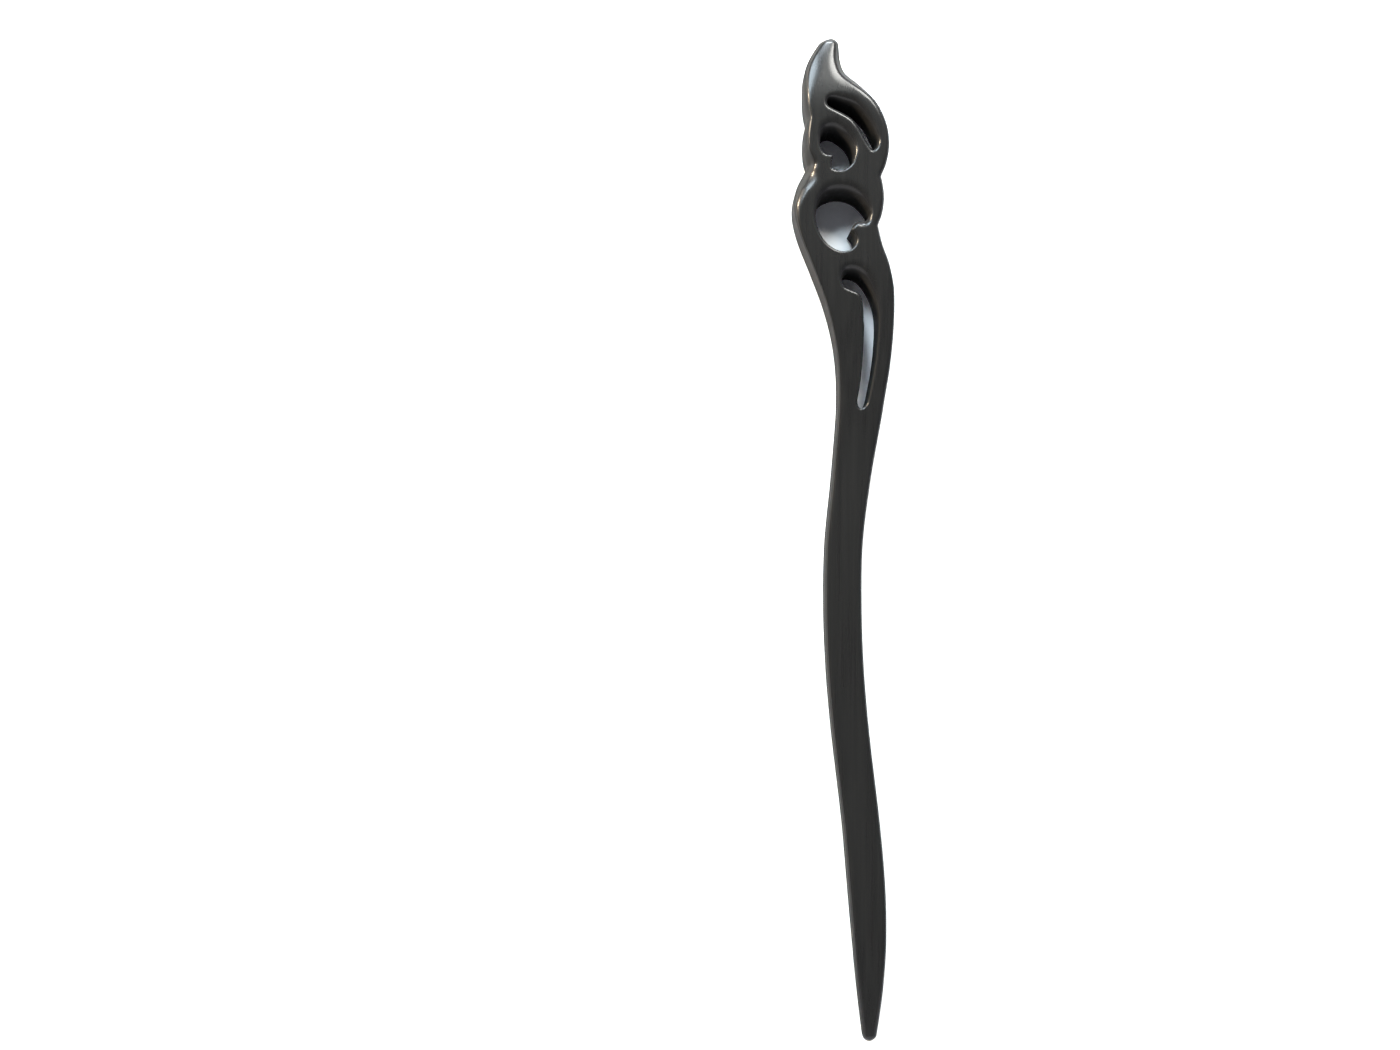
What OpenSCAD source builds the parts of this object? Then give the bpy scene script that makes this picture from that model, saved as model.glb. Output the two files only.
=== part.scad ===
// Carved hair stick of dark wood, in one piece, lying on its back face.
// A slim tapering shaft swings gently from side to side and swells at the neck
// into a flat flame-shaped head, which is pierced by four carved openings.
// +Y points to the tip of the flame, +Z is up from the surface it rests on.

/* [Shaft] */
// Length of the shaft, from its point to the neck
shaft_l = 112; // [90:1:140]
// Width of the shaft
shaft_w = 6.5; // [5:0.1:8]
// Thickness of the shaft
shaft_t = 6; // [4.5:0.1:7.5]
// Rounding of the front's long edges on the shaft
shaft_edge_r = 0.8; // [0.5:0.1:2]
// How far the shaft's axis swings from side to side
sweep = 5; // [0:0.5:9]
// Length of the tapered point
point_l = 30; // [20:1:45]
// Width of the point just behind its rounded end
point_w = 2.3; // [1.5:0.1:3]
// Thickness of the point just behind its rounded end
point_t = 2; // [1.5:0.1:3]
// Length of the rounded end of the point, and of the flame
end_l = 1.3; // [0.8:0.1:2]
// Length over which the shaft widens to the neck
swell_l = 21; // [12:1:40]
// Width of the neck, where the carved head begins
neck_w = 7.8; // [6:0.1:9]

/* [Head] */
// Length of the carved head, from the neck to the tip of the flame
head_l = 68; // [60:1:80]
// Width of the head, from its left edge to its right edge
head_w = 17.8; // [16:0.1:20]
// Thickness of the head
head_t = 8.5; // [7:0.1:10]
// Rounding of the front's outer edges on the head, which its tables vary along each side
head_edge_r = 1.2; // [0.8:0.1:1.5]
// Rounding of the back's outer edges
back_edge_r = 0.5; // [0.3:0.1:0.8]
// Radius across of the crown that lowers the upper head's front towards its edges
crown_r = 8.5; // [7:0.5:14]
// How far the crown reaches in from an edge
crown_reach = 3.5; // [2:0.1:4]
// Length over which the stick thickens from the shaft to the head
thicken_l = 38; // [24:1:60]
// Length of the flame's tip, over which the head grows thin
flame_l = 15; // [8:1:20]
// Thickness of the flame just behind its rounded tip
flame_t = 2.5; // [2:0.1:5]

/* [Openings] */
// Width of the crescent opening in the flame
crescent_w = 9; // [7:0.1:9.6]
// Length of the crescent opening in the flame
crescent_l = 9.2; // [7.4:0.1:9.8]
// Width of the curled opening
curl_w = 6.1; // [5:0.1:6.8]
// Length of the curled opening
curl_l = 7.3; // [6:0.1:7.8]
// Width of the large round opening
eye_w = 9.9; // [8:0.1:10.4]
// Length of the large round opening
eye_l = 10.6; // [8:0.1:11.2]
// Width of the long slot, across its hooked top
slot_w = 6.6; // [5:0.1:7]
// Length of the long slot
slot_l = 24.3; // [18:0.1:26]
// Radius of the broad scoop along the upper side of each opening, on the front
scoop_r = 2.4; // [1:0.1:3]
// Radius of the crisp lip along the rest of each opening, and all round it on the back
lip_r = 0.35; // [0.2:0.05:0.6]

/* [Hidden] */
wood = [0.11, 0.10, 0.09];

// Longest step between sections along the shaft and along the head
SHAFT_STEP = 4;
HEAD_STEP = 1.2;
// Step between points along the edge of an opening
EDGE_STEP = 0.9;
// Steps in a quarter turn: of a rounded edge, an opening's rim and a rounded end
EDGE_ARC = 4;
RIM_ARC = 3;
END_ARC = 4;
// Steps across the front between its two roundings
FRONT_STEPS = 4;
// How far a cutter reaches past both faces
REACH = 1;
// Largest share of a section's width or thickness that one rounding takes, and the same
// for the depth of the back's roundings
MOST = 0.49;
BACK_MOST = 0.3;
// Where the stick begins to thicken, in shares of thicken_l above the neck
THICKEN_SHARE = -0.25;
// The neck's middle, as a share of head_w right of the head's axis
NECK_SHARE = 0.165;

// Shaft's axis: share of shaft_l up from the point, share of sweep right of the neck
SWING = [
    [0.00, 0.40],
    [0.08, 0.41],
    [0.16, 0.385],
    [0.25, 0.28],
    [0.35, 0.09],
    [0.50, -0.30],
    [0.60, -0.49],
    [0.70, -0.57],
    [0.80, -0.53],
    [0.90, -0.285],
    [1.00, 0]
];

// Columns of an edge: share of head_l up from the neck, share of head_w right of the
// head's axis, 1 in a sharp valley, width and depth of the front's rounding as multiples
// of head_edge_r, how far the crown reaches in as a share of crown_reach
UP = 0;
OUT = 1;
VALLEY = 2;
ROUND_W = 3;
ROUND_T = 4;
CROWN = 5;
LEFT_EDGE = [
    [0.060, -0.047, 0, 0.6, 0.6, 0],
    [0.130, -0.055, 0, 0.5, 0.5, 0],
    [0.210, -0.095, 0, 0.35, 0.35, 0],
    [0.300, -0.185, 0, 0.3, 0.35, 0],
    [0.390, -0.314, 0, 0.3, 0.4, 0],
    [0.480, -0.449, 0, 0.5, 0.6, 0],
    [0.545, -0.500, 0, 1.2, 1.2, 0],
    [0.595, -0.475, 0, 2.2, 2.2, 0],
    [0.635, -0.403, 0, 2.7, 3.0, 0],
    [0.657, -0.359, 1, 1.7, 3.0, 0],
    [0.690, -0.388, 0, 0.9, 2.7, 0.1],
    [0.725, -0.394, 0, 0.8, 2.6, 0.2],
    [0.757, -0.383, 0, 0.8, 2.6, 0.25],
    [0.779, -0.365, 1, 0.7, 2.6, 0.3],
    [0.815, -0.390, 0, 0.7, 2.4, 0.4],
    [0.865, -0.399, 0, 0.7, 2.0, 0.65],
    [0.905, -0.388, 0, 0.8, 1.6, 0.9],
    [0.940, -0.341, 0, 0.8, 1.2, 1],
    [0.975, -0.260, 0, 0.8, 0.8, 1],
    [1.000, -0.190, 0, 0.7, 0.7, 1]
];
RIGHT_EDGE = [
    [0.060, 0.420, 0, 0.7, 0.7, 0],
    [0.130, 0.461, 0, 0.6, 0.6, 0],
    [0.200, 0.487, 0, 0.6, 0.6, 0],
    [0.280, 0.500, 0, 0.6, 0.6, 0],
    [0.340, 0.492, 0, 0.6, 0.6, 0],
    [0.400, 0.444, 0, 0.6, 0.6, 0],
    [0.450, 0.376, 0, 0.7, 0.7, 0],
    [0.498, 0.332, 1, 0.7, 0.7, 0],
    [0.530, 0.375, 0, 0.7, 0.7, 0],
    [0.570, 0.394, 0, 0.7, 0.7, 0],
    [0.605, 0.380, 0, 0.7, 0.7, 0],
    [0.625, 0.362, 1, 0.7, 0.7, 0],
    [0.660, 0.417, 0, 0.7, 0.7, 0],
    [0.705, 0.446, 0, 0.7, 0.7, 0],
    [0.750, 0.431, 0, 0.7, 0.7, 0],
    [0.790, 0.380, 0, 0.8, 0.8, 0],
    [0.825, 0.304, 0, 0.9, 0.9, 0.1],
    [0.855, 0.201, 0, 1.1, 1.1, 0.4],
    [0.880, 0.118, 0, 1.4, 1.8, 0.75],
    [0.905, 0.020, 0, 1.4, 2.0, 0.95],
    [0.940, -0.027, 0, 1.3, 1.6, 1],
    [0.975, -0.038, 0, 1.0, 1.2, 1],
    [1.000, -0.045, 0, 0.8, 0.8, 1]
];

// Middle of each opening: share of head_w right of the head's axis, share of head_l up
CRESCENT_AT = [0.081, 0.760];
CURL_AT = [-0.074, 0.693];
EYE_AT = [-0.009, 0.507];
SLOT_AT = [0.155, 0.198];

// Columns of an opening, clockwise from its left: shares of its half width and half
// length from its middle, rim from lip (0) to scoop (1), 1 at a sharp corner
RIM = 2;
SHARP = 3;
CRESCENT = [
    [-1.00, 0.92, 0.1, 0],
    [-0.92, 1.00, 0.2, 0],
    [-0.73, 0.98, 0.5, 0],
    [-0.39, 0.87, 0.7, 0],
    [0.04, 0.72, 0.7, 0],
    [0.39, 0.45, 0.5, 0],
    [0.66, 0.11, 0.35, 0],
    [0.85, -0.24, 0.25, 0],
    [0.99, -0.56, 0.15, 0],
    [0.97, -0.82, 0.1, 0],
    [0.81, -1.00, 0.1, 0],
    [0.67, -0.86, 0.1, 0],
    [0.53, -0.65, 0.1, 0],
    [0.38, -0.39, 0.1, 0],
    [0.21, -0.11, 0.1, 0],
    [-0.05, 0.21, 0.15, 0],
    [-0.42, 0.43, 0.15, 0],
    [-0.69, 0.55, 0.1, 0],
    [-0.91, 0.67, 0.1, 0],
    [-1.00, 0.79, 0.1, 0]
];
CURL = [
    [-0.98, 0.48, 0.1, 0],
    [-0.92, 0.74, 0.3, 0],
    [-0.64, 0.96, 0.8, 0],
    [-0.22, 1.00, 1.0, 0],
    [0.26, 0.78, 1.0, 0],
    [0.67, 0.46, 0.8, 0],
    [0.92, 0.08, 0.5, 0],
    [1.00, -0.29, 0.1, 0],
    [0.86, -0.66, 0, 0],
    [0.47, -0.94, 0, 0],
    [0.13, -1.00, 0, 0],
    [-0.18, -0.95, 0, 0],
    [-0.31, -0.84, 0, 0],
    [-0.31, -0.50, 0, 0],
    [-0.20, -0.27, 0, 1],
    [-0.63, -0.22, 0, 0],
    [-0.84, -0.06, 0, 0],
    [-0.97, 0.20, 0, 0]
];
EYE = [
    [-1.00, 0.22, 0.1, 0],
    [-0.82, 0.73, 0.5, 0],
    [-0.455, 0.95, 1.0, 0],
    [-0.09, 1.00, 1.0, 0],
    [0.27, 0.93, 1.0, 0],
    [0.60, 0.75, 0.8, 0],
    [0.86, 0.48, 0.4, 0],
    [0.97, 0.27, 0.1, 1],
    [0.85, 0.09, 0.4, 0],
    [0.72, 0.02, 0.5, 0],
    [0.56, 0.02, 0.45, 0],
    [0.39, -0.07, 0.25, 0],
    [0.26, -0.28, 0.1, 1],
    [0.41, -0.44, 0.1, 0],
    [0.45, -0.63, 0.1, 0],
    [0.38, -0.82, 0, 0],
    [0.15, -0.97, 0, 0],
    [-0.21, -0.96, 0, 0],
    [-0.60, -0.72, 0, 0],
    [-0.89, -0.31, 0, 0]
];
SLOT = [
    [-0.985, 0.877, 0.1, 0],
    [-0.76, 0.984, 0.7, 0],
    [-0.36, 0.992, 1.0, 0],
    [0.09, 0.926, 1.0, 0],
    [0.515, 0.778, 0.7, 0],
    [0.85, 0.572, 0.3, 0],
    [1.00, 0.333, 0.1, 0],
    [0.985, 0.045, 0, 0],
    [0.85, -0.325, 0, 0],
    [0.62, -0.68, 0, 0],
    [0.42, -0.90, 0, 0],
    [0.10, -0.97, 0, 0],
    [-0.09, -0.88, 0, 0],
    [0.05, -0.62, 0, 0],
    [0.17, -0.243, 0, 0],
    [0.215, 0.128, 0, 0],
    [0.185, 0.416, 0, 0],
    [0.09, 0.60, 0, 0],
    [-0.10, 0.685, 0, 0],
    [-0.56, 0.74, 0, 0],
    [-0.85, 0.786, 0, 0]
];

// Curves

function mix(a, b, u) = a + (b - a) * u;
function clamp01(u) = max(0, min(1, u));
function smooth(u) = let (v = clamp01(u)) v * v * (3 - 2 * v);

// Cubic from a to b, with their slopes over the whole gap
function cubic(a, b, slope_a, slope_b, u) =
    let (v = 1 - u)
    a * v * v * (1 + 2 * u) + slope_a * u * v * v + b * u * u * (1 + 2 * v) - slope_b * u * u * v;

// Slope at row i, from the rows on both sides, or in a valley from one side
function row_slope(rows, i, ahead, column) =
    let (
        valley = rows[i][VALLEY] == 1,
        from = i == 0 || (valley && ahead) ? i : i - 1,
        to = i == len(rows) - 1 || (valley && !ahead) ? i : i + 1
    )
    (rows[to][column] - rows[from][column]) / (rows[to][UP] - rows[from][UP]);

// Value of a column at height y of an edge
function along(rows, y, column) =
    let (
        below = [for (i = [0 : len(rows) - 2]) if (i == 0 || y >= rows[i][UP]) i],
        i = below[len(below) - 1],
        gap = rows[i + 1][UP] - rows[i][UP]
    )
    cubic(
        rows[i][column],
        rows[i + 1][column],
        row_slope(rows, i, true, column) * gap,
        row_slope(rows, i + 1, false, column) * gap,
        (y - rows[i][UP]) / gap
    );

// Numbers in rising order, each once
function sorted(list) =
    len(list) < 2 ? list :
    let (pivot = list[0])
    concat(
        sorted([for (v = list) if (v < pivot) v]),
        [pivot],
        sorted([for (v = list) if (v > pivot) v])
    );

// Outline of the stick, with y up from the point and x right of the head's axis

total_l = shaft_l + head_l;

// Width of the shaft at y: it tapers to the point and widens to the neck
function shaft_width(y) =
    let (
        taper = 1 - clamp01(y / point_l),
        swell = 1 - clamp01((shaft_l - y) / swell_l)
    )
    mix(shaft_w, point_w, taper * taper) + (neck_w - shaft_w) * swell * swell;

function shaft_rows(side) = [
    for (row = SWING)
        let (
            y = row[UP] * shaft_l,
            axis = NECK_SHARE * head_w + row[OUT] * sweep
        )
        [y, axis + side * shaft_width(y) / 2, 0, shaft_edge_r, shaft_edge_r, 0]
];

function head_rows(table) = [
    for (row = table)
        [
            shaft_l + row[UP] * head_l,
            row[OUT] * head_w,
            row[VALLEY],
            row[ROUND_W] * head_edge_r,
            row[ROUND_T] * head_edge_r,
            row[CROWN] * crown_reach
        ]
];

left_rows = concat(shaft_rows(-1), head_rows(LEFT_EDGE));
right_rows = concat(shaft_rows(1), head_rows(RIGHT_EDGE));

// Share of the full size that the rounding of the two ends leaves at y
function rounded(from_end) = sqrt(1 - pow(1 - clamp01(from_end / end_l), 2));
function end_share(y) = rounded(y) * rounded(total_l - y);

function edge_x(rows, y) =
    let (axis = (along(left_rows, y, OUT) + along(right_rows, y, OUT)) / 2)
    mix(axis, along(rows, y, OUT), end_share(y));

// Thickness: the back face is flat, and both ends grow thin about the middle plane

function full_t(y) = mix(shaft_t, head_t, smooth((y - shaft_l) / thicken_l - THICKEN_SHARE));
function mid_z(y) = full_t(y) / 2;
function half_t(y) =
    let (
        flame = 1 - clamp01((total_l - y) / flame_l),
        point = 1 - clamp01(y / point_l),
        thinned = mix(mix(full_t(y), flame_t, flame * flame), point_t, point * point)
    )
    thinned / 2 * end_share(y);

// The body: sections across the stick, from the point to the tip

end_steps = [for (i = [1 : END_ARC]) end_l * (1 - cos(90 * (i - 0.5) / END_ARC))];
stations = sorted(concat(
    end_steps,
    [for (y = [2 * end_l : SHAFT_STEP : shaft_l]) y],
    [for (y = [shaft_l : HEAD_STEP : total_l - end_l]) y],
    [for (step = end_steps) total_l - step],
    [for (row = concat(left_rows, right_rows)) if (row[VALLEY] == 1) row[UP]]
));

// Corner of a section: a quarter of an ellipse, turning to the right from an angle
function corner(x, z, rx, rz, start) = [
    for (i = [0 : EDGE_ARC])
        let (a = start - 90 * i / EDGE_ARC)
        [x + rx * cos(a), z + rz * sin(a)]
];

// How far the crown lowers the front at a distance off an edge, where it reaches in so far
function crown_drop(reach, off) = pow(max(0, reach - off), 2) / (2 * crown_r);

function section(y) =
    let (
        x0 = edge_x(left_rows, y),
        x1 = edge_x(right_rows, y),
        top = mid_z(y) + half_t(y),
        bottom = mid_z(y) - half_t(y),
        most_w = (x1 - x0) * MOST,
        most_t = (top - bottom) * MOST,
        left_w = min(along(left_rows, y, ROUND_W), most_w),
        right_w = min(along(right_rows, y, ROUND_W), most_w),
        left_t = min(along(left_rows, y, ROUND_T), most_t),
        right_t = min(along(right_rows, y, ROUND_T), most_t),
        back_w = min(back_edge_r, most_w),
        back_t = min(back_edge_r, (top - bottom) * BACK_MOST),
        left_reach = min(along(left_rows, y, CROWN), (x1 - x0) / 2),
        right_reach = min(along(right_rows, y, CROWN), (x1 - x0) / 2),
        front = concat(
            corner(x0 + left_w, top - left_t, left_w, left_t, 180),
            [
                for (i = [1 : FRONT_STEPS - 1])
                    [mix(x0 + left_w, x1 - right_w, i / FRONT_STEPS), top]
            ],
            corner(x1 - right_w, top - right_t, right_w, right_t, 90)
        ),
        back = concat(
            corner(x1 - back_w, bottom + back_t, back_w, back_t, 0),
            corner(x0 + back_w, bottom + back_t, back_w, back_t, -90)
        )
    )
    concat(
        [
            for (p = front)
                let (drop = crown_drop(left_reach, p[0] - x0) + crown_drop(right_reach, x1 - p[0]))
                [p[0], y, p[1] - drop]
        ],
        [for (p = back) [p[0], y, p[1]]]
    );

// Solid through rings of points, where the first ring turns to the right seen from outside
module skin(rings) {
    n = len(rings[0]);
    last = len(rings) - 1;
    first_cap = [for (j = [0 : n - 1]) j];
    last_cap = [for (j = [n - 1 : -1 : 0]) last * n + j];
    sides = [
        for (k = [0 : last - 1], j = [0 : n - 1])
            let (next = (j + 1) % n)
            [k * n + j, (k + 1) * n + j, (k + 1) * n + next, k * n + next]
    ];
    polyhedron(
        points = [for (ring = rings) each ring],
        faces = concat([first_cap], sides, [last_cap]),
        convexity = 8
    );
}

// The openings: cutters whose walls flare out into a lip or a scoop on the front and a
// lip on the back

// Tangent at row i of a closed edge, one-sided at a sharp corner
function edge_tangent(rows, i, ahead) =
    let (
        n = len(rows),
        sharp = rows[i][SHARP] == 1,
        from = sharp && ahead ? i : (i + n - 1) % n,
        to = sharp && !ahead ? i : (i + 1) % n
    )
    (rows[to] - rows[from]) / (sharp ? 1 : 2);

// The closed edge in short steps, with the rim's radius as its third column
function opening_edge(table, at, w, l) =
    let (
        rows = [for (row = table) [
            at[0] * head_w + row[0] * w / 2,
            shaft_l + at[1] * head_l + row[1] * l / 2,
            mix(lip_r, scoop_r, row[RIM]),
            row[SHARP]
        ]],
        n = len(rows)
    )
    [
        for (i = [0 : n - 1])
            let (
                next = (i + 1) % n,
                gap = rows[next] - rows[i],
                parts = max(1, round(norm([gap[0], gap[1]]) / EDGE_STEP))
            )
            for (k = [0 : parts - 1])
                cubic(
                    rows[i],
                    rows[next],
                    edge_tangent(rows, i, true),
                    edge_tangent(rows, next, false),
                    k / parts
                )
    ];

// Outward direction at point i of a closed edge that runs clockwise
function outward(edge, i) =
    let (
        n = len(edge),
        tangent = edge[(i + 1) % n] - edge[(i + n - 1) % n]
    )
    [-tangent[1], tangent[0]] / norm([tangent[0], tangent[1]]);

// Rings of a cutter from the top down: shares of the rim's radius outwards and
// below the face, how far past the face, and 1 for the top or -1 for the back
rim_rings = [for (i = [0 : RIM_ARC]) let (a = 90 * i / RIM_ARC) [1 - sin(a), 1 - cos(a), 0, 1]];
LEVELS = concat(
    [[1, 0, REACH, 1]],
    rim_rings,
    [for (i = [RIM_ARC : -1 : 0]) [rim_rings[i][0], rim_rings[i][1], 0, -1]],
    [[1, 0, REACH, -1]]
);

module opening(table, at, w, l) {
    edge = opening_edge(table, at, w, l);
    skin([
        for (level = LEVELS) [
            for (i = [0 : len(edge) - 1])
                let (
                    r = level[3] > 0 ? max(lip_r, edge[i][RIM]) : lip_r,
                    flare = outward(edge, i) * r * level[0],
                    y = edge[i][1] + flare[1],
                    off_middle = half_t(y) - r * level[1] + level[2]
                )
                [edge[i][0] + flare[0], y, mid_z(y) + level[3] * off_middle]
        ]
    ]);
}

// The stick, with the middle of its outline at x = 0 and y = 0

left_x = min([for (y = stations) edge_x(left_rows, y)]);
right_x = max([for (y = stations) edge_x(right_rows, y)]);

module hair_stick() {
    color(wood)
        translate([-(left_x + right_x) / 2, -total_l / 2, 0])
            difference() {
                skin([for (y = stations) section(y)]);
                opening(CRESCENT, CRESCENT_AT, crescent_w, crescent_l);
                opening(CURL, CURL_AT, curl_w, curl_l);
                opening(EYE, EYE_AT, eye_w, eye_l);
                opening(SLOT, SLOT_AT, slot_w, slot_l);
            }
}

hair_stick();
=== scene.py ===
"""The looks of a carved hair stick: smooth, polished near-black wood, lying on a pale table."""

import math

import bpy
import numpy as np
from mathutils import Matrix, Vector


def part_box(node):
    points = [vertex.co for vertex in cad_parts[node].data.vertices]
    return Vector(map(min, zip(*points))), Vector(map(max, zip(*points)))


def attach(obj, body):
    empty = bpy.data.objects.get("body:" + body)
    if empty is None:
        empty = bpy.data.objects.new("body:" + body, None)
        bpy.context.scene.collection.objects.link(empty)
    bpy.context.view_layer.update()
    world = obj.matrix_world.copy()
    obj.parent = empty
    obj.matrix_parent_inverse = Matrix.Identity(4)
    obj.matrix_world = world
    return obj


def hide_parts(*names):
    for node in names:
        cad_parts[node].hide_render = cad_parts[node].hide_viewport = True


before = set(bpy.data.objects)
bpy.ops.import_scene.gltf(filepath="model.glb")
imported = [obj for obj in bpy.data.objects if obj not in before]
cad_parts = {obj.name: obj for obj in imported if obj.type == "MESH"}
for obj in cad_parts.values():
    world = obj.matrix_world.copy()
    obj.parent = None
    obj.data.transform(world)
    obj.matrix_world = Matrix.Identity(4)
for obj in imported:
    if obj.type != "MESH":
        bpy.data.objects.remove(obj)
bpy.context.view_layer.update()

# Sizes in millimetres: the whole stick's come from the frame, and the others are the solid's own

MM = 0.001
CAD_LOW, CAD_HIGH = (np.array(corner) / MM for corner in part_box("hair_stick"))
STICK_L, HEAD_T = (CAD_HIGH - CAD_LOW)[1:]
# Share of the whole length that the head takes
HEAD_SHARE = 0.378
HEAD_L = HEAD_SHARE * STICK_L
SHAFT_L = STICK_L - HEAD_L
HEAD_W = 17.8
NECK_W = 7.8
# The neck's middle, as a share of HEAD_W right of the head's axis
NECK_SHARE = 0.165
NECK_X = NECK_SHARE * HEAD_W
SHAFT_W = 6.5
SHAFT_T = 6.0
SHAFT_EDGE_R = 0.8
SWEEP = 5.0
SWELL_L = 21.0
POINT_L = 30.0
POINT_W = 2.3
POINT_T = 2.0
END_L = 1.3
HEAD_EDGE_R = 1.2
BACK_EDGE_R = 0.5
THICKEN_L = 38.0
# Where the stick begins to thicken, in shares of THICKEN_L above the neck
THICKEN_SHARE = -0.25
FLAME_L = 15.0
FLAME_T = 2.5
SCOOP_R = 2.4
LIP_R = 0.35

# Largest share of a section's half width or half thickness that one rounding takes
MOST = 0.98
# How sharply soft_min turns from one size to the other
SOFT_POWER = 6
# How softly two roundings meet in a crest
CREST_SHARE = 0.5
# Crown of the upper head's front: its radius across, and how far it reaches in from an edge
CROWN_R = 8.5
CROWN_REACH = 3.5
# Least size of a rounding, and least value of a divisor
SMALL = 1e-6
TINY = 1e-9

# Length of the mesh's cells in the head and at the point, along the rest of the shaft,
# how far the fine cells reach from the neck and the point, and the room left around the stick
FINE = 0.25
COARSE = 0.75
FINE_BELOW_NECK = 6.0
FINE_AT_POINT = 3.0
MARGIN = 1.5 * FINE
# Step between points along the carved edges, and how many points a rounding reaches along them
EDGE_STEP = 0.1
WINDOW = 40
# Distance given to places that an opening's rim doesn't reach
FAR = 10 * SCOOP_R
# Step over which the thickness's slope along the stick is measured
SLOPE_STEP = 0.01
# Rounds that move the mesh's points onto the surface, and rounds that even them out on it
SETTLE_ROUNDS = 3
EVEN_ROUNDS = 2

# Shaft's axis: share of SHAFT_L up from the point, share of SWEEP right of the neck
SWING = np.array([
    (0.00, 0.40), (0.08, 0.41), (0.16, 0.385), (0.25, 0.28), (0.35, 0.09), (0.50, -0.30),
    (0.60, -0.49), (0.70, -0.57), (0.80, -0.53), (0.90, -0.285), (1.00, 0.00),
])

# Columns of an edge: share of HEAD_L up from the neck, share of HEAD_W right of the head's
# axis, 1 in a sharp valley, width and depth of the front's rounding as multiples of
# HEAD_EDGE_R, how far the crown reaches in as a share of CROWN_REACH
UP, OUT, VALLEY, ROUND_W, ROUND_T, CROWN = range(6)
LEFT_EDGE = np.array([
    (0.060, -0.047, 0, 0.6, 0.6, 0), (0.130, -0.055, 0, 0.5, 0.5, 0),
    (0.210, -0.095, 0, 0.35, 0.35, 0), (0.300, -0.185, 0, 0.3, 0.35, 0),
    (0.390, -0.314, 0, 0.3, 0.4, 0), (0.480, -0.449, 0, 0.5, 0.6, 0),
    (0.545, -0.500, 0, 1.2, 1.2, 0), (0.595, -0.475, 0, 2.2, 2.2, 0),
    (0.635, -0.403, 0, 2.7, 3.0, 0), (0.657, -0.359, 1, 1.7, 3.0, 0),
    (0.690, -0.388, 0, 0.9, 2.7, 0.1), (0.725, -0.394, 0, 0.8, 2.6, 0.2),
    (0.757, -0.383, 0, 0.8, 2.6, 0.25), (0.779, -0.365, 1, 0.7, 2.6, 0.3),
    (0.815, -0.390, 0, 0.7, 2.4, 0.4), (0.865, -0.399, 0, 0.7, 2.0, 0.65),
    (0.905, -0.388, 0, 0.8, 1.6, 0.9), (0.940, -0.341, 0, 0.8, 1.2, 1),
    (0.975, -0.260, 0, 0.8, 0.8, 1), (1.000, -0.190, 0, 0.7, 0.7, 1),
])
RIGHT_EDGE = np.array([
    (0.060, 0.420, 0, 0.7, 0.7, 0), (0.130, 0.461, 0, 0.6, 0.6, 0),
    (0.200, 0.487, 0, 0.6, 0.6, 0), (0.280, 0.500, 0, 0.6, 0.6, 0),
    (0.340, 0.492, 0, 0.6, 0.6, 0), (0.400, 0.444, 0, 0.6, 0.6, 0),
    (0.450, 0.376, 0, 0.7, 0.7, 0), (0.498, 0.332, 1, 0.7, 0.7, 0),
    (0.530, 0.375, 0, 0.7, 0.7, 0), (0.570, 0.394, 0, 0.7, 0.7, 0),
    (0.605, 0.380, 0, 0.7, 0.7, 0), (0.625, 0.362, 1, 0.7, 0.7, 0),
    (0.660, 0.417, 0, 0.7, 0.7, 0), (0.705, 0.446, 0, 0.7, 0.7, 0),
    (0.750, 0.431, 0, 0.7, 0.7, 0), (0.790, 0.380, 0, 0.8, 0.8, 0),
    (0.825, 0.304, 0, 0.9, 0.9, 0.1), (0.855, 0.201, 0, 1.1, 1.1, 0.4),
    (0.880, 0.118, 0, 1.4, 1.8, 0.75), (0.905, 0.020, 0, 1.4, 2.0, 0.95),
    (0.940, -0.027, 0, 1.3, 1.6, 1), (0.975, -0.038, 0, 1.0, 1.2, 1),
    (1.000, -0.045, 0, 0.8, 0.8, 1),
])

# Columns of an opening's edge, clockwise from its left: shares of its half width and half
# length from its middle, rim from lip (0) to scoop (1), 1 at a sharp corner
RIM = 2
SHARP = 3
CRESCENT = np.array([
    (-1.00, 0.92, 0.1, 0), (-0.92, 1.00, 0.2, 0), (-0.73, 0.98, 0.5, 0), (-0.39, 0.87, 0.7, 0),
    (0.04, 0.72, 0.7, 0), (0.39, 0.45, 0.5, 0), (0.66, 0.11, 0.35, 0), (0.85, -0.24, 0.25, 0),
    (0.99, -0.56, 0.15, 0), (0.97, -0.82, 0.1, 0), (0.81, -1.00, 0.1, 0), (0.67, -0.86, 0.1, 0),
    (0.53, -0.65, 0.1, 0), (0.38, -0.39, 0.1, 0), (0.21, -0.11, 0.1, 0), (-0.05, 0.21, 0.15, 0),
    (-0.42, 0.43, 0.15, 0), (-0.69, 0.55, 0.1, 0), (-0.91, 0.67, 0.1, 0), (-1.00, 0.79, 0.1, 0),
])
CURL = np.array([
    (-0.98, 0.48, 0.1, 0), (-0.92, 0.74, 0.3, 0), (-0.64, 0.96, 0.8, 0), (-0.22, 1.00, 1.0, 0),
    (0.26, 0.78, 1.0, 0), (0.67, 0.46, 0.8, 0), (0.92, 0.08, 0.5, 0), (1.00, -0.29, 0.1, 0),
    (0.86, -0.66, 0, 0), (0.47, -0.94, 0, 0), (0.13, -1.00, 0, 0), (-0.18, -0.95, 0, 0),
    (-0.31, -0.84, 0, 0), (-0.31, -0.50, 0, 0), (-0.20, -0.27, 0, 1), (-0.63, -0.22, 0, 0),
    (-0.84, -0.06, 0, 0), (-0.97, 0.20, 0, 0),
])
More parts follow.
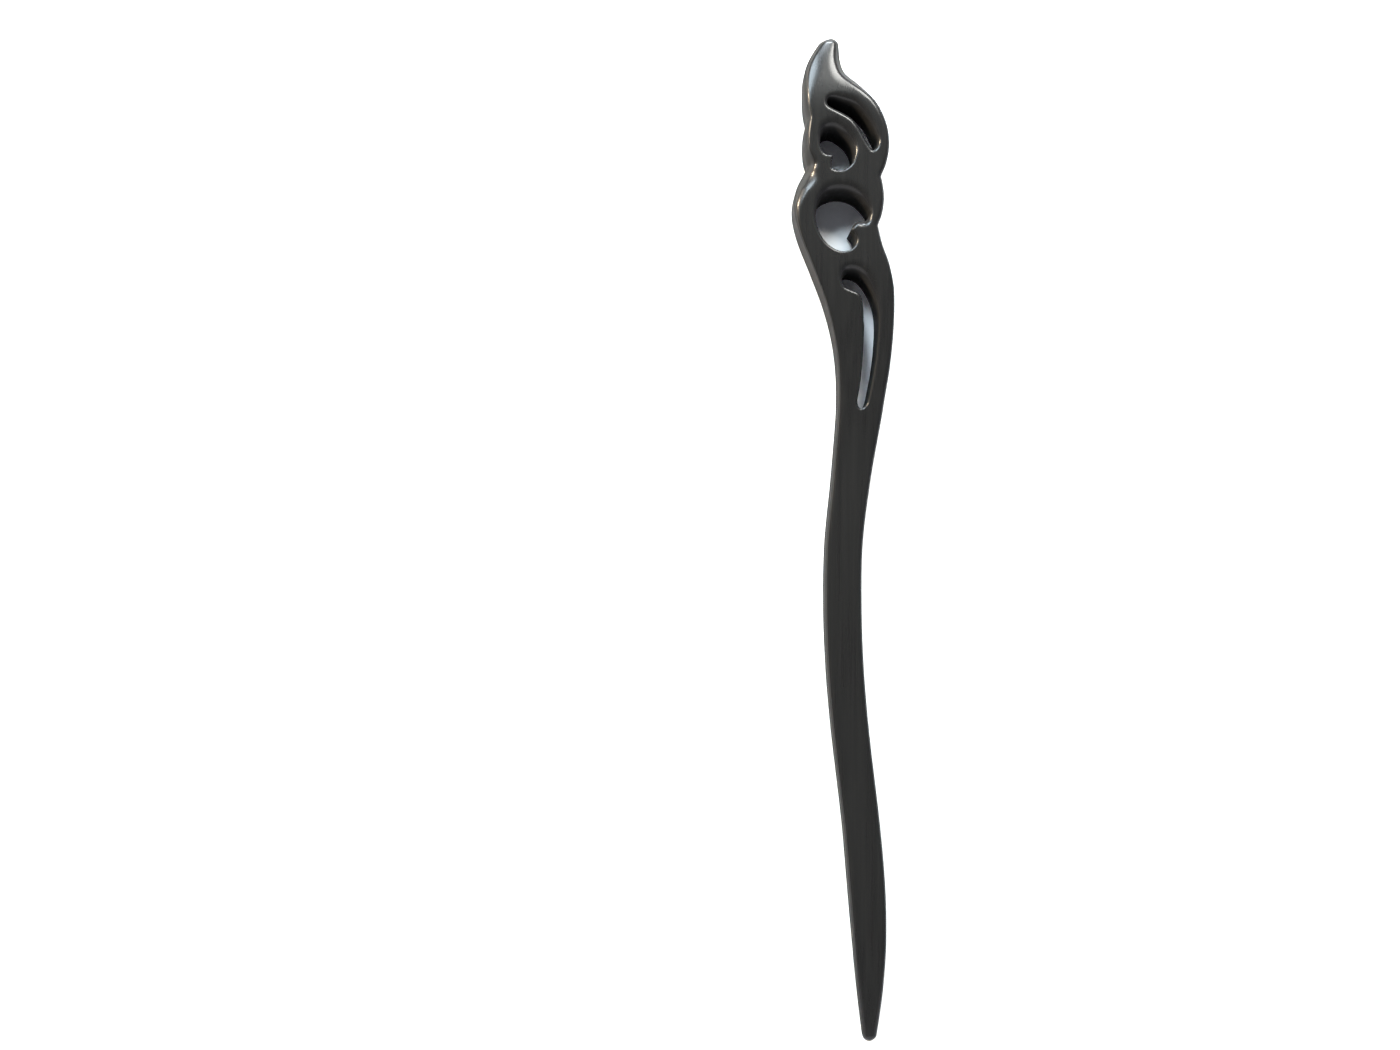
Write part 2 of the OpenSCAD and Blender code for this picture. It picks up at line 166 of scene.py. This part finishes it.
EYE = np.array([
    (-1.00, 0.22, 0.1, 0), (-0.82, 0.73, 0.5, 0), (-0.455, 0.95, 1.0, 0), (-0.09, 1.00, 1.0, 0),
    (0.27, 0.93, 1.0, 0), (0.60, 0.75, 0.8, 0), (0.86, 0.48, 0.4, 0), (0.97, 0.27, 0.1, 1),
    (0.85, 0.09, 0.4, 0), (0.72, 0.02, 0.5, 0), (0.56, 0.02, 0.45, 0), (0.39, -0.07, 0.25, 0),
    (0.26, -0.28, 0.1, 1), (0.41, -0.44, 0.1, 0), (0.45, -0.63, 0.1, 0), (0.38, -0.82, 0, 0),
    (0.15, -0.97, 0, 0), (-0.21, -0.96, 0, 0), (-0.60, -0.72, 0, 0), (-0.89, -0.31, 0, 0),
])
SLOT = np.array([
    (-0.985, 0.877, 0.1, 0), (-0.76, 0.984, 0.7, 0), (-0.36, 0.992, 1.0, 0),
    (0.09, 0.926, 1.0, 0), (0.515, 0.778, 0.7, 0), (0.85, 0.572, 0.3, 0), (1.00, 0.333, 0.1, 0),
    (0.985, 0.045, 0, 0), (0.85, -0.325, 0, 0), (0.62, -0.68, 0, 0), (0.42, -0.90, 0, 0),
    (0.10, -0.97, 0, 0), (-0.09, -0.88, 0, 0), (0.05, -0.62, 0, 0), (0.17, -0.243, 0, 0),
    (0.215, 0.128, 0, 0), (0.185, 0.416, 0, 0), (0.09, 0.60, 0, 0), (-0.10, 0.685, 0, 0),
    (-0.56, 0.74, 0, 0), (-0.85, 0.786, 0, 0),
])
# Each opening: its table, its middle in shares of HEAD_W and HEAD_L, its width and length
OPENINGS = [
    (CRESCENT, (0.081, 0.760), (9.0, 9.2)),
    (CURL, (-0.074, 0.693), (6.1, 7.3)),
    (EYE, (-0.009, 0.507), (9.9, 10.6)),
    (SLOT, (0.155, 0.198), (6.6, 24.3)),
]


# Curves


def mix(start, end, share):
    return start + (end - start) * share


def clamp01(value):
    return np.clip(value, 0, 1)


def smooth(value):
    value = clamp01(value)
    return value * value * (3 - 2 * value)


def soft_min(one, other):
    """The smaller of two positive sizes, with a soft change from one to the other."""
    return one * other / (one**SOFT_POWER + other**SOFT_POWER) ** (1 / SOFT_POWER)


def cubic(start, end, start_slope, end_slope, share):
    """Cubic from start to end, with their slopes over the whole gap."""
    rest = 1 - share
    return (
        start * rest * rest * (1 + 2 * share) + start_slope * share * rest * rest
        + end * share * share * (1 + 2 * rest) - end_slope * share * share * rest
    )


def along(rows, y, column):
    """Value of a column at each height y of an edge, with one-sided slopes at a valley."""
    up = rows[:, UP]
    values = rows[:, column]
    steps = np.diff(values) / np.diff(up)
    middle = (values[2:] - values[:-2]) / (up[2:] - up[:-2])
    central = np.concatenate([steps[:1], middle, steps[-1:]])
    sharp = rows[:, VALLEY] == 1
    ahead = np.where(sharp, np.append(steps, steps[-1]), central)
    behind = np.where(sharp, np.insert(steps, 0, steps[0]), central)
    first = np.clip(np.searchsorted(up, y, side="right") - 1, 0, len(up) - 2)
    last = first + 1
    gap = up[last] - up[first]
    share = (y - up[first]) / gap
    return cubic(values[first], values[last], ahead[first] * gap, behind[last] * gap, share)


# The stick's outline and thickness, with y up from the point and x right of the head's axis


def shaft_width(y):
    taper = 1 - clamp01(y / POINT_L)
    swell = 1 - clamp01((SHAFT_L - y) / SWELL_L)
    return mix(SHAFT_W, POINT_W, taper**2) + (NECK_W - SHAFT_W) * swell**2


def edge_rows(side, head_table):
    """Rows of one long edge in millimetres: the columns of an edge, with y up from the point."""
    y = SWING[:, 0] * SHAFT_L
    x = NECK_X + SWING[:, 1] * SWEEP + side * shaft_width(y) / 2
    zero = np.zeros_like(y)
    rounding = np.full_like(y, SHAFT_EDGE_R)
    shaft = np.column_stack([y, x, zero, rounding, rounding, zero])
    head = head_table * (HEAD_L, HEAD_W, 1, HEAD_EDGE_R, HEAD_EDGE_R, CROWN_REACH)
    head[:, UP] += SHAFT_L
    return np.vstack([shaft, head])


LEFT_ROWS = edge_rows(-1, LEFT_EDGE)
RIGHT_ROWS = edge_rows(1, RIGHT_EDGE)


def rounded(from_end):
    return np.sqrt(1 - (1 - clamp01(from_end / END_L)) ** 2)


def end_share(y):
    """Share of the full size that the rounding of the two ends leaves."""
    return rounded(y) * rounded(STICK_L - y)


def edge_x(rows, y):
    axis = (along(LEFT_ROWS, y, OUT) + along(RIGHT_ROWS, y, OUT)) / 2
    return mix(axis, along(rows, y, OUT), end_share(y))


def full_thickness(y):
    """Thickness before the flame and the point are thinned. Half of it is the middle's height."""
    return mix(SHAFT_T, HEAD_T, smooth((y - SHAFT_L) / THICKEN_L - THICKEN_SHARE))


def half_thickness(y):
    """Half the thickness, which the flame, the point and the two rounded ends make thinner."""
    flame = 1 - clamp01((STICK_L - y) / FLAME_L)
    point = 1 - clamp01(y / POINT_L)
    thinned = mix(mix(full_thickness(y), FLAME_T, flame**2), POINT_T, point**2)
    return thinned / 2 * end_share(y)


def slope_along(thickness, y):
    """How fast one of the two thicknesses grows up the stick."""
    return (thickness(y + SLOPE_STEP) - thickness(y - SLOPE_STEP)) / (2 * SLOPE_STEP)


# Carved edges: points in plan, each with the width and depth of the rounding there, and how
# far the crown reaches in


def long_edge(rows):
    """Points of one long side of the stick, closer together in its rounded ends."""
    turn = np.linspace(0, math.pi / 2, round(2 * END_L / EDGE_STEP))
    end = END_L * (1 - np.cos(turn))
    middle = np.arange(END_L, STICK_L - END_L, EDGE_STEP)
    y = np.concatenate([end, middle[1:], STICK_L - end[::-1]])
    half_width = (edge_x(RIGHT_ROWS, y) - edge_x(LEFT_ROWS, y)) / 2
    width = soft_min(along(rows, y, ROUND_W), MOST * half_width + SMALL)
    depth = along(rows, y, ROUND_T)
    crown = soft_min(along(rows, y, CROWN), half_width + SMALL)
    return np.column_stack([edge_x(rows, y), y, width, depth, crown])


def closed_edge(table, middle, size):
    """Points of an opening's edge, in steps of about EDGE_STEP."""
    place = table[:, :2] * np.array(size) / 2
    place = place + np.array(middle) * (HEAD_W, HEAD_L) + (0, SHAFT_L)
    radius = mix(LIP_R, SCOOP_R, table[:, RIM])
    rows = np.column_stack([place, radius, radius, 0 * radius])
    before = np.roll(rows, 1, axis=0)
    after = np.roll(rows, -1, axis=0)
    sharp = table[:, SHARP:] == 1
    ahead = np.where(sharp, after - rows, (after - before) / 2)
    behind = np.roll(np.where(sharp, rows - before, (after - before) / 2), -1, axis=0)
    stretches = []
    for start, end, start_slope, end_slope in zip(rows, after, ahead, behind):
        parts = max(1, round(np.hypot(*(end - start)[:2]) / EDGE_STEP))
        share = (np.arange(parts) / parts)[:, None]
        stretches.append(cubic(start, end, start_slope, end_slope, share))
    edge = np.vstack(stretches)
    edge[:, 2:4] = np.maximum(edge[:, 2:4], LIP_R)
    return np.vstack([edge, edge[:1]])


LONG_EDGES = [(long_edge(LEFT_ROWS), LEFT_ROWS, 1), (long_edge(RIGHT_ROWS), RIGHT_ROWS, -1)]
HOLES = [closed_edge(*opening) for opening in OPENINGS]
# Radius of each carved edge on the back, in the order of plan
BACK_RADII = [BACK_EDGE_R] * len(LONG_EDGES) + [LIP_R] * len(HOLES)
LEFTMOST = LONG_EDGES[0][0][:, 0].min()
RIGHTMOST = LONG_EDGES[1][0][:, 0].max()


def from_points(edge, place, closest):
    """Each place's distance and direction from an edge, and the rounding and crown there.

    It measures only the two segments beside the edge's closest point.
    """
    best = None
    for start in (closest - 1, closest):
        first = np.clip(start, 0, len(edge) - 2)
        row = edge[first]
        span = edge[first + 1] - row
        squared = np.maximum((span[:, :2] ** 2).sum(1), TINY)
        share = clamp01(((place - row[:, :2]) * span[:, :2]).sum(1) / squared)
        foot = row + span * share[:, None]
        away = place - foot[:, :2]
        distance = np.hypot(away[:, 0], away[:, 1])
        found = np.column_stack([distance, away, foot[:, 2:]])
        best = found if best is None else np.where((distance < best[:, 0])[:, None], found, best)
    direction = best[:, 1:3] / np.maximum(best[:, :1], TINY)
    return best[:, 0], direction, best[:, 3], best[:, 4], best[:, 5]


def near_long_edge(edge, place):
    """As from_points, for a long edge, searched only as far as its roundings reach."""
    window = np.arange(-WINDOW, WINDOW + 1)
    middle = np.searchsorted(edge[:, 1], place[:, 1])
    index = np.clip(middle[:, None] + window, 0, len(edge) - 1)
    gap = (place[:, :1] - edge[index, 0]) ** 2 + (place[:, 1:] - edge[index, 1]) ** 2
    closest = index[np.arange(len(place)), gap.argmin(1)]
    return from_points(edge, place, closest)


def near_loop(edge, place):
    """As from_points, for a closed edge, searched only where its rim reaches."""
    low = edge[:, :2].min(0) - SCOOP_R
    high = edge[:, :2].max(0) + SCOOP_R
    near = np.flatnonzero((place >= low).all(1) & (place <= high).all(1))
    part = place[near]
    gap = (part[:, :1] - edge[:, 0]) ** 2 + (part[:, 1:] - edge[:, 1]) ** 2
    found = from_points(edge, part, gap.argmin(1) if len(near) else np.zeros(0, int))
    distance = np.full(len(place), FAR)
    direction = np.zeros((len(place), 2))
    width = np.full(len(place), SCOOP_R)
    depth = np.full(len(place), SCOOP_R)
    crown = np.zeros(len(place))
    for whole, values in zip((distance, direction, width, depth, crown), found):
        whole[near] = values
    return distance, direction, width, depth, crown


def inside_loop(edge, place):
    """True where a place in plan lies inside a closed edge."""
    inside = np.zeros(len(place), bool)
    low = edge[:, :2].min(0)
    high = edge[:, :2].max(0)
    near = np.flatnonzero((place >= low).all(1) & (place <= high).all(1))
    x, y = place[near].T
    crossings = np.zeros(len(near), int)
    for (x0, y0), (x1, y1) in zip(edge[:-1, :2], edge[1:, :2]):
        if y0 != y1:
            spans = (y0 > y) != (y1 > y)
            crossings += spans & (x < x0 + (y - y0) * (x1 - x0) / (y1 - y0))
    inside[near] = crossings % 2 == 1
    return inside


def into_wood(found, in_wood):
    """What from_points found, with its distance and direction counted into the wood."""
    distance, direction, *rounding = found
    sign = np.where(in_wood, 1, -1)
    return distance * sign, direction * sign[:, None], *rounding


def plan(place):
    """For each carved edge: the distance into the wood and its direction, the rounding's
    width and depth, and how far the crown reaches in."""
    y = np.clip(place[:, 1], 0, STICK_L)
    beyond = (place[:, 1] < 0) | (place[:, 1] > STICK_L)
    rows = []
    for edge, table, side in LONG_EDGES:
        in_wood = (side * (place[:, 0] - edge_x(table, y)) > 0) & ~beyond
        rows.append(into_wood(near_long_edge(edge, place), in_wood))
    for edge in HOLES:
        rows.append(into_wood(near_loop(edge, place), ~inside_loop(edge, place)))
    return rows


# The carved form as a field: above zero in the wood, zero on its surface


def level(direction):
    """A direction in plan as one in space."""
    return np.column_stack([direction, np.zeros(len(direction))])


def edge_field(row, back, above, under, most, under_slope):
    """The field at one carved edge, how far its rounding has begun sideways, and the slope."""
    distance, direction, width, depth, _ = row
    width = np.where(above > 0, width, back)
    depth = soft_min(np.where(above > 0, depth, back), most)
    sideways = np.maximum(0, 1 - distance / width)
    upwards = np.maximum(0, 1 - under / depth)
    turned = np.hypot(sideways, upwards)
    value = depth * (1 - turned)
    if under_slope is None:
        return value, sideways, None
    turned = np.maximum(turned, TINY)
    across = (depth * sideways / width / turned)[:, None] * level(direction)
    return value, sideways, across + (upwards / turned)[:, None] * under_slope


def join(one, other):
    """The lower of two edges' fields, with a soft crest where both roundings have begun."""
    value, sideways, slope = one
    other_value, other_sideways, other_slope = other
    crest = CREST_SHARE * clamp01(2 * np.minimum(other_sideways, sideways)) + TINY
    near = np.maximum(0, 1 - np.abs(value - other_value) / crest)
    lower = other_value < value
    if slope is not None:
        share = np.where(lower, 1 - near**2 / 2, near**2 / 2)[:, None]
        slope = mix(slope, other_slope, share)
    value = np.where(lower, other_value, value) - near**3 * crest / 6
    return value, np.maximum(sideways, other_sideways), slope


def field(rows, y, z, with_slope=False):
    """The field and its slope, or None for the slope, at points whose plan is known."""
    half = half_thickness(y)
    middle = full_thickness(y) / 2
    above = np.where(z > middle, 1.0, -1.0)
    under = half - above * (z - middle)
    under_slope = None
    if with_slope:
        lengthwise = slope_along(half_thickness, y) + above * slope_along(full_thickness, y) / 2
        under_slope = np.stack([np.zeros_like(y), lengthwise, -above], -1)
    crown = np.where(above > 0, 1 / CROWN_R, 0)
    for distance, direction, _, _, reach in rows[:len(LONG_EDGES)]:
        off_top = np.maximum(0, reach - np.maximum(distance, 0))
        under = under - crown * off_top**2 / 2
        if with_slope:
            under_slope = under_slope + (crown * off_top)[:, None] * level(direction)
    most = MOST * half + SMALL
    total = None
    for row, back in zip(rows, BACK_RADII):
        part = edge_field(row, back, above, under, most, under_slope)
        total = part if total is None else join(total, part)
    value, _, slope = total
    return value, slope


# The mesh: a net of quads over the cells that the surface passes through, drawn onto the surface


def grid_lines():
    """The cells' corners: across, along and up."""
    fine_from = SHAFT_L - FINE_BELOW_NECK
    coarse_cells = round((fine_from - FINE_AT_POINT) / COARSE)
    across = np.arange(LEFTMOST - MARGIN, RIGHTMOST + MARGIN + FINE, FINE)
    lengthwise = np.concatenate([
        np.arange(-MARGIN, FINE_AT_POINT, FINE),
        np.linspace(FINE_AT_POINT, fine_from, coarse_cells, endpoint=False),
        np.arange(fine_from, STICK_L + MARGIN, FINE),
    ])
    upwards = np.arange(-MARGIN, HEAD_T + 2 * FINE, FINE)
    return across, lengthwise, upwards


def grid_field(lines):
    """The field at all corners of the cells."""
    across, lengthwise, upwards = lines
    place = np.stack(np.meshgrid(across, lengthwise, indexing="ij"), -1).reshape(-1, 2)
    columns = []
    for distance, _, *rounding in plan(place):
        columns.append((distance[:, None], None, *(size[:, None] for size in rounding)))
    values, _ = field(columns, place[:, 1:], upwards[None, :])
    return values.reshape(len(across), len(lengthwise), len(upwards))


def net(lines, values):
    """Points and quads of the net: a point in each cell that the surface passes through."""
    inside = values > 0
    sides = (slice(None, -1), slice(1, None))
    corners = [inside[i, j, k] for i in sides for j in sides for k in sides]
    count = sum(corner.astype(int) for corner in corners)
    mixed = (count > 0) & (count < len(corners))
    ids = np.full(mixed.shape, -1)
    ids[mixed] = np.arange(mixed.sum())
    sums = np.zeros((mixed.sum(), 3))
    hits = np.zeros(len(sums))
    quads = []
    for axis in range(3):
        low = [slice(None)] * 3
        high = [slice(None)] * 3
        low[axis], high[axis] = sides
        crossed = inside[tuple(low)] != inside[tuple(high)]
        found = np.argwhere(crossed)
        start = values[tuple(low)][crossed]
        end = values[tuple(high)][crossed]
        share = start / (start - end)
        point = np.stack([lines[n][found[:, n]] for n in range(3)], -1)
        point[:, axis] = mix(point[:, axis], lines[axis][found[:, axis] + 1], share)
        one, two = (n for n in range(3) if n != axis)
        around = []
        for step_one, step_two in ((-1, -1), (0, -1), (0, 0), (-1, 0)):
            cell = found.copy()
            cell[:, one] += step_one
            cell[:, two] += step_two
            index = ids[tuple(cell.T)]
            np.add.at(sums, index, point)
            np.add.at(hits, index, 1)
            around.append(index)
        quad = np.stack(around, -1)
        turned = (start > 0) == (axis == 1)
        quads.append(np.where(turned[:, None], quad[:, ::-1], quad))
    return sums / hits[:, None], np.vstack(quads)


def field_at(points):
    return field(plan(points[:, :2]), points[:, 1], points[:, 2], with_slope=True)


def settle(points, reach):
    """Points moved along the field's slope onto the surface, by at most reach in a round."""
    for _ in range(SETTLE_ROUNDS):
        value, slope = field_at(points)
        move = -value[:, None] * slope / np.maximum((slope**2).sum(1), SMALL)[:, None]
        length = np.linalg.norm(move, axis=1)
        points = points + move * np.minimum(1, reach / np.maximum(length, TINY))[:, None]
    return points


def even_out(points, quads):
    """Points moved half way to the middle of their neighbours, along the surface only."""
    sides = np.vstack([quads[:, [i, (i + 1) % 4]] for i in range(4)])
    edges = np.unique(np.sort(sides, axis=1), axis=0)
    sums = np.zeros_like(points)
    count = np.zeros(len(points))
    for ends, others in (edges.T, edges.T[::-1]):
        np.add.at(sums, ends, points[others])
        np.add.at(count, ends, 1)
    _, slope = field_at(points)
    normal = slope / np.maximum(np.linalg.norm(slope, axis=1), TINY)[:, None]
    move = (sums / count[:, None] - points) / 2
    return points + move - normal * (move * normal).sum(1)[:, None]


def carve():
    """The whole stick as one closed mesh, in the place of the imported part's solid."""
    lines = grid_lines()
    points, quads = net(lines, grid_field(lines))
    points = settle(points, FINE)
    for _ in range(EVEN_ROUNDS):
        points = settle(even_out(points, quads), FINE / 2)
    points[:, 0] -= (LEFTMOST + RIGHTMOST) / 2
    points[:, 1] += CAD_LOW[1]
    points = np.clip(points, CAD_LOW, CAD_HIGH)
    mesh = bpy.data.meshes.new("carved_stick")
    mesh.from_pydata((points * MM).tolist(), [], quads.tolist())
    mesh.shade_smooth()
    stick = bpy.data.objects.new("carved_stick", mesh)
    bpy.context.scene.collection.objects.link(stick)
    return stick


# Materials

# Grain: how fine it is, and how far it is stretched along the stick
GRAIN_SCALE = 1400
GRAIN_DETAIL = 4
GRAIN_ROUGHNESS = 0.6
GRAIN_STRETCH = (1.0, 0.025, 1.0)
# The grain's two colours, each with its place in the grain from 0 to 1
WOOD_COLOURS = ((0.30, (0.0060, 0.0060, 0.0057)), (0.75, (0.0092, 0.0090, 0.0085)))
# How level a surface is where its polish begins and where it is full, from 0 upright to 1 flat
POLISH_FROM = 0.3
POLISH_FULL = 0.85
WALL_ROUGHNESS = 0.85
FACE_ROUGHNESS = 0.25
FACE_COAT = 0.08
COAT_ROUGHNESS = 0.14
WOOD_SPECULAR = 0.2

TABLE_COLOUR = (0.88, 0.88, 0.88)
TABLE_ROUGHNESS = 0.7


def new_material(name):
    material = bpy.data.materials.new(name)
    material.use_nodes = True
    nodes = material.node_tree.nodes
    return material, nodes, material.node_tree.links, nodes["Principled BSDF"]


def colour_ramp(nodes, stops):
    """A ramp between two colours, each with its place from 0 to 1."""
    ramp = nodes.new("ShaderNodeValToRGB")
    for element, (position, colour) in zip(ramp.color_ramp.elements, stops):
        element.position = position
        element.color = (*colour, 1)
    return ramp


def ranged(nodes, links, share, low, high, target):
    """Feeds a socket with low where the share is 0 and high where it is 1."""
    spread = nodes.new("ShaderNodeMapRange")
    spread.inputs["To Min"].default_value = low
    spread.inputs["To Max"].default_value = high
    links.new(share, spread.inputs["Value"])
    links.new(spread.outputs["Result"], target)


def polished_faces(nodes, links):
    """1 on the faces and their roundings, which are well polished, and 0 on the upright walls."""
    place = nodes.new("ShaderNodeTexCoord")
    parts = nodes.new("ShaderNodeSeparateXYZ")
    size = nodes.new("ShaderNodeMath")
    size.operation = "ABSOLUTE"
    share = nodes.new("ShaderNodeMapRange")
    share.interpolation_type = "SMOOTHSTEP"
    share.inputs["From Min"].default_value = POLISH_FROM
    share.inputs["From Max"].default_value = POLISH_FULL
    links.new(place.outputs["Normal"], parts.inputs["Vector"])
    links.new(parts.outputs["Z"], size.inputs[0])
    links.new(size.outputs[0], share.inputs["Value"])
    return share.outputs["Result"]


def dark_wood():
    """Near-black dense wood: fine grain along the stick, sanded and polished to a satin sheen."""
    material, nodes, links, shader = new_material("polished_dark_wood")
    place = nodes.new("ShaderNodeTexCoord")
    stretch = nodes.new("ShaderNodeMapping")
    stretch.inputs["Scale"].default_value = GRAIN_STRETCH
    links.new(place.outputs["Object"], stretch.inputs["Vector"])

    grain = nodes.new("ShaderNodeTexNoise")
    grain.inputs["Scale"].default_value = GRAIN_SCALE
    grain.inputs["Detail"].default_value = GRAIN_DETAIL
    grain.inputs["Roughness"].default_value = GRAIN_ROUGHNESS
    links.new(stretch.outputs["Vector"], grain.inputs["Vector"])

    colours = colour_ramp(nodes, WOOD_COLOURS)
    links.new(grain.outputs["Fac"], colours.inputs["Fac"])
    links.new(colours.outputs["Color"], shader.inputs["Base Color"])

    polish = polished_faces(nodes, links)
    ranged(nodes, links, polish, WALL_ROUGHNESS, FACE_ROUGHNESS, shader.inputs["Roughness"])
    ranged(nodes, links, polish, 0.0, FACE_COAT, shader.inputs["Coat Weight"])
    shader.inputs["Coat Roughness"].default_value = COAT_ROUGHNESS
    shader.inputs["Specular IOR Level"].default_value = WOOD_SPECULAR
    return material


def pale_table():
    material, _, _, shader = new_material("pale_table")
    shader.inputs["Base Color"].default_value = (*TABLE_COLOUR, 1)
    shader.inputs["Roughness"].default_value = TABLE_ROUGHNESS
    return material


# Stage, light and camera, in metres and degrees

TABLE_SIZE = 3.0
# The head, which the light panels shine at
LIGHT_AIM = Vector((0, 0.05, 0))
# Light panels: name, azimuth and elevation seen from the head, width and height, radiance,
# colour, distance from the head
PANELS = [
    ("window_right", 65, 39.5, (0.34, 0.50), 46, (1.0, 1.0, 0.96), 1.2),
    ("window_left", 112, 42.5, (0.40, 0.56), 36, (0.76, 0.90, 1.0), 1.2),
    ("window_middle", 90, 29, (0.26, 0.20), 14, (0.80, 0.90, 1.0), 1.2),
    ("window_low", 86, 20, (0.22, 0.30), 72, (0.84, 0.93, 1.0), 1.2),
    ("wall_left", 143, 34, (0.50, 0.80), 6, (0.98, 0.99, 1.0), 1.2),
    ("warm_lamp", 151, 25, (0.13, 0.06), 270, (1.0, 0.80, 0.56), 0.6),
    ("room_front", 268, 24, (2.4, 0.9), 1.6, (1.0, 1.0, 1.0), 1.2),
]
# The room's colour at two heights, from 0 at the horizon to 1 overhead
ROOM_COLOURS = ((0.15, (0.55, 0.52, 0.64)), (0.80, (0.25, 0.26, 0.295)))
# The photograph looks straight down on the stick, from a little left of it. The place is in
# millimetres, and so are the lens and the width of the sensor.
CAMERA_PLACE = (-25.5, 2.9, 255.0)
CAMERA_LENS = 36.0
SENSOR_W = 36.0
CLIP_START = 0.01


def add_table():
    bpy.ops.mesh.primitive_plane_add(size=TABLE_SIZE, location=(0, 0, 0))
    table = bpy.context.object
    table.name = "table"
    table.data.materials.append(pale_table())


def add_panel(name, azimuth, elevation, size, radiance, colour, distance):
    """A soft light panel that shines at the head from a direction. The camera doesn't see it."""
    turn = math.radians(azimuth)
    rise = math.radians(elevation)
    level_part = math.cos(rise)
    away = Vector((math.cos(turn) * level_part, math.sin(turn) * level_part, math.sin(rise)))
    light = bpy.data.lights.new(name, "AREA")
    light.shape = "RECTANGLE"
    light.size, light.size_y = size
    light.energy = radiance * math.pi * size[0] * size[1]
    light.color = colour
    panel = bpy.data.objects.new(name, light)
    panel.location = LIGHT_AIM + away * distance
    panel.rotation_euler = away.to_track_quat("Z", "Y").to_euler()
    panel.visible_camera = False
    bpy.context.scene.collection.objects.link(panel)


def room_light():
    """Light of the room around: pale at the horizon and darker overhead, where the camera is."""
    world = bpy.data.worlds.new("room")
    world.use_nodes = True
    nodes = world.node_tree.nodes
    links = world.node_tree.links
    place = nodes.new("ShaderNodeTexCoord")
    parts = nodes.new("ShaderNodeSeparateXYZ")
    links.new(place.outputs["Generated"], parts.inputs["Vector"])
    ramp = colour_ramp(nodes, ROOM_COLOURS)
    ramp.color_ramp.interpolation = "EASE"
    links.new(parts.outputs["Z"], ramp.inputs["Fac"])
    links.new(ramp.outputs["Color"], nodes["Background"].inputs["Color"])
    bpy.context.scene.world = world


def light_scene():
    for panel in PANELS:
        add_panel(*panel)
    room_light()
    bpy.context.scene.view_settings.view_transform = "Standard"


def add_camera():
    data = bpy.data.cameras.new("camera")
    data.sensor_width = SENSOR_W
    data.lens = CAMERA_LENS
    data.clip_start = CLIP_START
    camera = bpy.data.objects.new("camera", data)
    camera.location = Vector(CAMERA_PLACE) * MM
    bpy.context.scene.collection.objects.link(camera)
    bpy.context.scene.camera = camera


def main():
    stick = carve()
    stick.data.materials.append(dark_wood())
    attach(stick, "root")
    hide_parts("hair_stick")
    add_table()
    light_scene()
    add_camera()


main()
